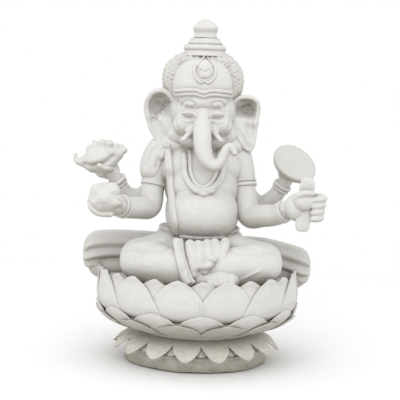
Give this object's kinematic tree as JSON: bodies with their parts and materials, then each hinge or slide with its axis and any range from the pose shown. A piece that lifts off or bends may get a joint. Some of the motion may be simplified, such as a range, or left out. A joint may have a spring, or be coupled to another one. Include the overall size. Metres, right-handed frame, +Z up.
{
  "type": "ganesha idol",
  "caption": "Four-armed elephant-headed figure in white marble, seated cross-legged on a double lotus throne.",
  "frame": {"origin": "centre of the plinth's flat underside", "axes": "+Z up; the figure faces -Y; the figure's own right side is at -X"},
  "size_m": [0.4423, 0.3616, 0.61],
  "materials": {
    "white_marble": "matte, finely carved",
    "weathered_marble": "matte, rough, earth-stained",
    "stainless_steel": "plain drawn bar"
  },
  "bodies": {
    "root": {"belly_band": "white_marble", "brow_band": "white_marble", "conch": "white_marble", "crossed_foot": "white_marble", "crown_back": "white_marble", "crown_crest": "white_marble", "crown_dome": "white_marble", "crown_finial": "white_marble", "crown_pin": "stainless_steel", "disc": "white_marble", "drooping_petal_ring": "weathered_marble", "front_pleats": "white_marble", "head": "white_marble", "left_back_bracelet": "white_marble", "left_back_drape": "white_marble", "left_back_forearm": "white_marble", "left_back_hand": "white_marble", "left_back_upper_arm": "white_marble", "left_ear": "white_marble", "left_front_armband": "white_marble", "left_front_bracelet": "white_marble", "left_front_forearm": "white_marble", "left_front_hand": "white_marble", "left_front_upper_arm": "white_marble", "left_leg": "white_marble", "left_tusk": "white_marble", "long_sash": "white_marble", "lower_crown_tier": "white_marble", "lower_petal_dish": "white_marble", "neck_pin": "stainless_steel", "necklace": "white_marble", "pendant": "white_marble", "plinth": "weathered_marble", "right_back_bracelet": "white_marble", "right_back_drape": "white_marble", "right_back_forearm": "white_marble", "right_back_hand": "white_marble", "right_back_upper_arm": "white_marble", "right_ear": "white_marble", "right_front_armband": "white_marble", "right_front_bracelet": "white_marble", "right_front_forearm": "white_marble", "right_front_hand": "white_marble", "right_front_upper_arm": "white_marble", "right_leg": "white_marble", "right_tusk": "white_marble", "sash_tail": "white_marble", "seat_disc": "white_marble", "shoulder_shawl": "white_marble", "spine_pin": "stainless_steel", "sweet_ball": "white_marble", "torso": "white_marble", "trunk": "white_marble", "upper_crown_tier": "white_marble", "upper_petal_dish": "white_marble", "waist_drum": "weathered_marble", "writing_tablet": "white_marble"}
  },
  "joints": []
}
